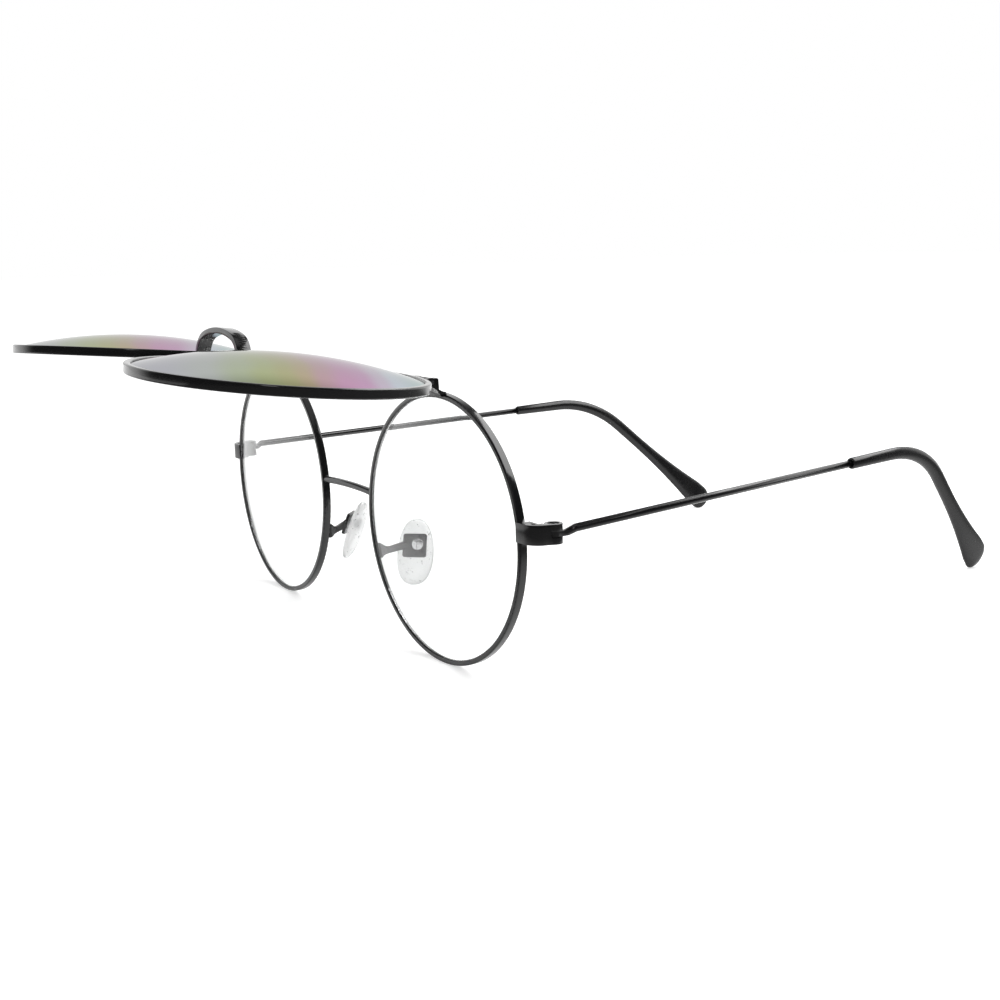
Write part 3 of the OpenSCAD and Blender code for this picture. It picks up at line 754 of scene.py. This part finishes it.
bridgeRibs = {
    "count": 13, "length": 2.1, "thickness": 0.34, "from": 12.0, "to": 88.0, "shoulder": 5.3, "lift": -0.02,
    "steps": 16, "segments": 14, "rings": 10,
}


def buildRibTree():
    tree, given, result = newTree(
        "ribRow",
        [("Count", "NodeSocketInt", 6), ("Length", "NodeSocketFloat", 0.002),
         ("Thickness", "NodeSocketFloat", 0.0003), ("Material", "NodeSocketMaterial", None)])
    wanted = given.outputs
    path = addNode(tree, "GeometryNodeMeshToCurve", {"Mesh": wanted["Geometry"]})
    places = addNode(
        tree, "GeometryNodeResampleCurve", {"Curve": path.outputs["Curve"], "Count": wanted["Count"]})
    half = maths(tree, "MULTIPLY", wanted["Length"], 0.5)
    thick = maths(tree, "MULTIPLY", wanted["Thickness"], 0.5)
    size = addNode(tree, "ShaderNodeCombineXYZ", {"X": thick, "Y": thick, "Z": half})
    ball = addNode(
        tree, "GeometryNodeMeshUVSphere",
        {"Segments": bridgeRibs["segments"], "Rings": bridgeRibs["rings"], "Radius": 1.0})
    rib = addNode(
        tree, "GeometryNodeTransform", {"Geometry": ball.outputs["Mesh"], "Scale": size.outputs["Vector"]})
    row = addNode(
        tree, "GeometryNodeInstanceOnPoints",
        {"Points": places.outputs["Curve"], "Instance": rib.outputs["Geometry"]})
    finishTree(tree, result, row.outputs["Instances"], wanted["Material"])
    return tree


def shoulderPoints():
    # Along the outer face of the flip bridge's left shoulder, in its lowered place
    centre = archHalf - bridgeRibs["shoulder"]
    span = bridgeRibs["to"] - bridgeRibs["from"]
    radius = bridgeRibs["shoulder"] + bridgeRibs["lift"]
    for i in range(bridgeRibs["steps"] + 1):
        angle = math.radians(bridgeRibs["from"] + span * i / bridgeRibs["steps"])
        yield Vector((
            (centre + radius * math.cos(angle)) * mm, archFoot.y - radius * math.sin(angle) * mm, archFoot.z))


ribPath = list(shoulderPoints())
ribPoints = ribPath + [Vector((-p.x, p.y, p.z)) for p in ribPath]
ribEdges = chain(ribPath) + chain(ribPath, len(ribPath))
ribValues = {
    "Count": bridgeRibs["count"],
    "Length": bridgeRibs["length"] * mm,
    "Thickness": bridgeRibs["thickness"] * mm,
    "Material": blackLacquer,
}
ribs = grow("flip_bridge_ribs", buildRibTree(), ribPoints, ribEdges, ribValues, "flip_front", toRaised)
print("ribs made:", len(ribs.data.polygons), "faces")


# Brazing beads where the metal parts are joined

beads = {
    "bridge": 0.15, "bracket": 0.13, "leg": 0.14, "waver": 0.035, "waverScale": 1500.0, "seed": 7, "round": 12,
}
collar = {"inset": 0.20, "rise": 0.02, "share": 0.9, "points": 28}
foot = {"half": 3.35, "steps": 20, "back": -0.33, "slope": 0.0419, "rise": 0.02}
leg = {"half": 1.2, "steps": 12, "front": 1.05, "inset": 0.02}


def buildBeadTree():
    tree, given, result = newTree(
        "brazingBead",
        [("Radius", "NodeSocketFloat", 0.00015), ("Waver", "NodeSocketFloat", 0.00003),
         ("Seed", "NodeSocketFloat", 0.0), ("Material", "NodeSocketMaterial", None)])
    wanted = given.outputs
    path = addNode(tree, "GeometryNodeMeshToCurve", {"Mesh": wanted["Geometry"]})
    ring = addNode(
        tree, "GeometryNodeCurvePrimitiveCircle", {"Resolution": beads["round"], "Radius": wanted["Radius"]})
    body = addNode(
        tree, "GeometryNodeCurveToMesh",
        {"Curve": path.outputs["Curve"], "Profile Curve": ring.outputs["Curve"], "Fill Caps": True})
    uneven = addNode(
        tree, "ShaderNodeTexNoise",
        {"W": wanted["Seed"], "Scale": beads["waverScale"], "Detail": 1.0}, noise_dimensions="4D")
    step = maths(tree, "MULTIPLY", maths(tree, "SUBTRACT", uneven.outputs["Fac"], 0.5), wanted["Waver"])
    outward = addNode(tree, "GeometryNodeInputNormal")
    offset = addNode(tree, "ShaderNodeVectorMath", operation="SCALE")
    tree.links.new(outward.outputs["Normal"], offset.inputs[0])
    tree.links.new(step, offset.inputs["Scale"])
    moved = addNode(
        tree, "GeometryNodeSetPosition", {"Geometry": body.outputs["Mesh"], "Offset": offset.outputs["Vector"]})
    finishTree(tree, result, moved.outputs["Geometry"], wanted["Material"])
    return tree


beadTree = buildBeadTree()


def lay(name, paths, radius, body, matrix=Matrix.Identity(4), closed=False):
    points, edges = [], []
    for path in paths:
        edges += chain(path, len(points), closed)
        points += path
    values = {
        "Radius": radius * mm,
        "Waver": beads["waver"] * mm,
        "Seed": float(beads["seed"]),
        "Material": blackLacquer,
    }
    grow(name, beadTree, points, edges, values, body, matrix)


def across(half, steps):
    return [-half + 2 * half * i / steps for i in range(steps + 1)]


bridgeMid = (bridgeLow + bridgeHigh) / 2
wireRadius = (bridgeHigh.y - bridgeLow.y) / 2
endHeight = bridgeLow.z + wireRadius


def collarPath(sign):
    # Round one end of the bridge wire
    reach = collar["share"] * wireRadius
    turns = [2 * math.pi * i / collar["points"] for i in range(collar["points"])]
    return [
        Vector((
            sign * (bridgeHigh.x - collar["inset"] * mm), bridgeMid.y + reach * math.cos(a),
            endHeight + collar["rise"] * mm + reach * math.sin(a)))
        for a in turns
    ]


def footPath(sign):
    # Along the top of an eyewire, behind its flip bracket
    return [
        Vector((
            sign * (rimCentre.x + dx * mm), rimCentre.y + (foot["back"] + dx * foot["slope"]) * mm,
            rimCentre.z + math.sqrt((rimRadius / mm) ** 2 - dx ** 2) * mm + foot["rise"] * mm))
        for dx in across(foot["half"], foot["steps"])
    ]


def legPath(sign):
    # Down one end of the flip bridge, in its lowered place
    return [
        Vector((sign * (archHalf - leg["inset"]) * mm, archFoot.y - leg["front"] * mm, archFoot.z + dz * mm))
        for dz in across(leg["half"], leg["steps"])
    ]


lay("bridge_brazing", [collarPath(1), collarPath(-1)], beads["bridge"], "front_frame", closed=True)
lay("bracket_brazing", [footPath(1), footPath(-1)], beads["bracket"], "front_frame")
lay("flip_bridge_brazing", [legPath(1), legPath(-1)], beads["leg"], "flip_front", toRaised)
print("brazing beads laid")


# Nose pads: moulded silicone, crowned towards the nose, on a boss that the arm's plate holds

pads = {
    "place": Vector((14.6, 6.3, -7.6)),
    "turn": 44.0,
    "splay": 20.0,
    "width": 7.4,
    "height": 13.4,
    "thickness": 2.6,
    "gap": 0.25,
    "low": 1.0,
    "shift": -0.35,
    "slimmerTop": 0.07,
    "crownPower": 0.62,  # powers under 1 give fuller outlines than an ellipse
    "depthPower": 0.9,
    "sidePower": 0.86,
    "endPower": 0.92,
    "cup": 0.35,
    "backCup": 0.4,
    "rings": 22,
    "round": 56,
}
padBoss = {
    "radius": 1.0, "place": (0.7, 0.2), "plate": 0.65, "inset": 0.05, "overlap": 0.5, "ease": 0.12,
    "segments": 36, "rimAngle": 1.0,
}


def fuller(value, power):
    return math.copysign(abs(value) ** power, value)


def addPadRing(work, turn, middle):
    halfWidth, halfHeight = pads["width"] / 2, pads["height"] / 2
    size = math.sin(turn) ** pads["crownPower"]
    depth = pads["thickness"] / 2 * fuller(math.cos(turn), pads["depthPower"])
    ring = []
    for k in range(pads["round"]):
        angle = 2 * math.pi * k / pads["round"]
        narrow = 1 - pads["slimmerTop"] * math.sin(angle)
        y = halfWidth * narrow * fuller(math.cos(angle), pads["sidePower"])
        z = halfHeight * fuller(math.sin(angle), pads["endPower"])
        cup = pads["cup"] * (y / halfWidth) ** 2 * size ** 2
        x = middle + depth - cup * (1 if depth > 0 else pads["backCup"])
        ring.append(work.verts.new((x, y * size + pads["shift"], z * size - pads["low"])))
    return ring


def addPadBoss(work):
    bossY, bossZ = padBoss["place"]
    length = padBoss["plate"] + pads["gap"] + padBoss["overlap"]
    matrix = (
        Matrix.Translation((padBoss["plate"] - padBoss["inset"] - length / 2, bossY, bossZ))
        @ Matrix.Rotation(math.radians(90), 4, "Y")
    )
    boss = bmesh.ops.create_cone(
        work, cap_ends=True, segments=padBoss["segments"], radius1=padBoss["radius"], radius2=padBoss["radius"],
        depth=length, matrix=matrix)
    corners = set(boss["verts"])
    rimEdges = [e for e in work.edges if e.verts[0] in corners and e.calc_face_angle(0) > padBoss["rimAngle"]]
    bmesh.ops.bevel(work, geom=rimEdges, offset=padBoss["ease"], segments=3, affect="EDGES")


def padMesh(name):
    work = bmesh.new()
    middle = -pads["gap"] - pads["thickness"] / 2
    rings = [addPadRing(work, math.pi * i / pads["rings"], middle) for i in range(1, pads["rings"])]
    for upper, lower in zip(rings, rings[1:]):
        joinRings(work, upper, lower)
    closeRing(work, rings[0], (middle + pads["thickness"] / 2, pads["shift"], -pads["low"]))
    closeRing(work, rings[-1], (middle - pads["thickness"] / 2, pads["shift"], -pads["low"]))
    addPadBoss(work)
    bmesh.ops.recalc_face_normals(work, faces=work.faces)
    return meshFrom(work, name)


padPlace = (
    Matrix.Translation(Vector((0, rimCentre.y, rimCentre.z))) @ Matrix.Scale(mm, 4)
    @ Matrix.Translation(pads["place"])
    @ Matrix.Rotation(math.radians(-pads["turn"]), 4, "Z")
    @ Matrix.Rotation(math.radians(-pads["splay"]), 4, "Y")
)
for side, sign in sides.items():
    mesh = padMesh(side + "PadShape")
    mesh.transform(padPlace)
    if sign < 0:
        mirrored(mesh)
    smoothShade(mesh)
    pad = newPiece(side + "_nose_pad_moulded", mesh, "front_frame")
    paint(pad, clearSilicone)
    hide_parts(side + "_nose_pad")
print("nose pads moulded")


# Studio: white floor, a white backdrop in the world's light, and three soft lamps

studio = {
    "floorSize": 8.0,
    "floorColour": (0.80, 0.80, 0.80),
    "floorGlow": (0.57, 0.80),
    "glowGrows": (0.25, 1.2),
    "fill": 0.44,
    "seen": 1.0,
    "roomDim": 0.06,
    "ceiling": 0.45,
    "ceilingFrom": (0.80, 0.95),
    # Painted shade in reflections: near the object the floor keeps this brightness in reflections, and farther
    # out its colour is painted dark down to nearFloorDim
    "reflectedFloorReach": (0.07, 0.165),
    "reflectedFloorLevel": 0.68,
    "reflectedFloorLeft": (-0.14, -0.04),
    "nearFloorDim": 0.12,
    "backdropOnFloor": (0.08, 0.40),
    "backdropWidth": (0.10, 0.50),
    "backdropTop": (0.45, 0.75),
    "lampAim": Vector((0, 0, 0.03)),
}
lamps = {
    "topLamp": {"energy": 1.9, "size": (0.60, 0.50), "place": Vector((-0.10, 0.08, 0.80)), "mirrored": False},
    "softBox": {"energy": 1.6, "size": (0.52, 0.26), "place": Vector((0.08, 0.31, 0.40)), "mirrored": True},
    "sideLamp": {"energy": 0.35, "size": (0.12, 0.50), "place": Vector((0.55, -0.35, 0.45)), "mirrored": True},
}

# The backdrop stands behind the object as the photo sees it, and stays there in every view
away = Vector((-math.sin(math.radians(view["azimuth"])), math.cos(math.radians(view["azimuth"])), 0.0))
white = (1, 1, 1, 1)


def lightPath(tree):
    # Rays seen straight or through glass, and rays seen in a reflection
    path = addNode(tree, "ShaderNodeLightPath").outputs
    direct = maths(tree, "MAXIMUM", path["Is Camera Ray"], path["Is Transmission Ray"])
    return direct, maths(tree, "MULTIPLY", path["Is Glossy Ray"], maths(tree, "SUBTRACT", 1.0, direct))


def towardsBackdrop(tree, point, low, high):
    along = addNode(tree, "ShaderNodeVectorMath", operation="DOT_PRODUCT")
    tree.links.new(point, along.inputs[0])
    along.inputs[1].default_value = away
    return spread(tree, along.outputs["Value"], low, high, 0.0, 1.0, smooth=True)


def makeFloor():
    half = studio["floorSize"] / 2
    corners = [(-half, -half, 0), (half, -half, 0), (half, half, 0), (-half, half, 0)]
    mesh = bpy.data.meshes.new("studioFloor")
    mesh.from_pydata(corners, [], [(0, 1, 2, 3)])
    floor = bpy.data.objects.new("studioFloor", mesh)
    bpy.context.scene.collection.objects.link(floor)
    material, tree, shader = newMaterial("studioFloor")
    setSockets(shader, {"Roughness": 0.9, "Specular IOR Level": 0.0, "Emission Color": white})
    direct, glossy = lightPath(tree)
    point, _ = objectCoordinates(tree)
    far = addNode(tree, "ShaderNodeVectorMath", operation="LENGTH")
    tree.links.new(point, far.inputs[0])
    distance = far.outputs["Value"]
    glow = spread(tree, distance, *studio["glowGrows"], *studio["floorGlow"], smooth=True)
    # In reflections only, the floor's colour is painted dark as painted shade, so the white floor shows as a
    # small table that fades out beside the object, but not behind it
    close = spread(tree, distance, *studio["reflectedFloorReach"], studio["reflectedFloorLevel"], studio["nearFloorDim"], smooth=True)
    left = spread(tree, axisOf(tree, point, "X"), *studio["reflectedFloorLeft"], studio["reflectedFloorLevel"], 0.0, smooth=True)
    behind = towardsBackdrop(tree, point, *studio["backdropOnFloor"])
    kept = maths(tree, "MAXIMUM", maths(tree, "MAXIMUM", close, left), behind)
    reflected = maths(tree, "MULTIPLY", glossy, kept)
    reflectionShadePainted = maths(tree, "SUBTRACT", glossy, reflected)
    # Painted shade: for reflected rays the floor's colour goes black wherever it is not kept
    colour = mixColours(tree, reflectionShadePainted, studio["floorColour"], (0.0, 0.0, 0.0))
    tree.links.new(colour, shader.inputs["Base Color"])
    strength = maths(tree, "MULTIPLY", maths(tree, "MAXIMUM", direct, reflected), glow)
    tree.links.new(strength, shader.inputs["Emission Strength"])
    paint(floor, material)


def makeWorld():
    world = bpy.data.worlds.new("studioWorld")
    world.use_nodes = True
    tree = world.node_tree
    background = tree.nodes["Background"]
    direct, glossy = lightPath(tree)
    # Polished parts show a white backdrop behind the object and a dim room everywhere else
    direction = addNode(tree, "ShaderNodeTexCoord").outputs["Generated"]
    height = axisOf(tree, direction, "Z")
    lower = spread(tree, height, *studio["backdropTop"], 1.0, 0.0, smooth=True)
    bright = maths(tree, "MULTIPLY", towardsBackdrop(tree, direction, *studio["backdropWidth"]), lower)
    ceiling = spread(tree, height, *studio["ceilingFrom"], 0.0, studio["ceiling"], smooth=True)
    backdrop = spread(tree, bright, 0.0, 1.0, studio["roomDim"], studio["seen"])
    reflected = maths(tree, "MULTIPLY", glossy, maths(tree, "MAXIMUM", backdrop, ceiling))
    straight = maths(tree, "MULTIPLY", direct, studio["seen"])
    others = maths(tree, "SUBTRACT", 1.0, maths(tree, "MAXIMUM", direct, glossy))
    fill = maths(tree, "MULTIPLY", others, studio["fill"])
    total = maths(tree, "ADD", maths(tree, "MAXIMUM", straight, reflected), fill)
    tree.links.new(total, background.inputs["Strength"])
    background.inputs["Color"].default_value = white
    bpy.context.scene.world = world


def makeLamp(name, settings):
    data = bpy.data.lights.new(name, "AREA")
    data.shape = "RECTANGLE"
    data.size, data.size_y = settings["size"]
    data.energy = settings["energy"]
    lamp = bpy.data.objects.new(name, data)
    lamp.visible_glossy = settings["mirrored"]
    lamp.location = settings["place"]
    lamp.rotation_euler = (studio["lampAim"] - settings["place"]).to_track_quat("-Z", "Y").to_euler()
    bpy.context.scene.collection.objects.link(lamp)


makeFloor()
makeWorld()
for lampName, settings in lamps.items():
    makeLamp(lampName, settings)
print("studio lit")
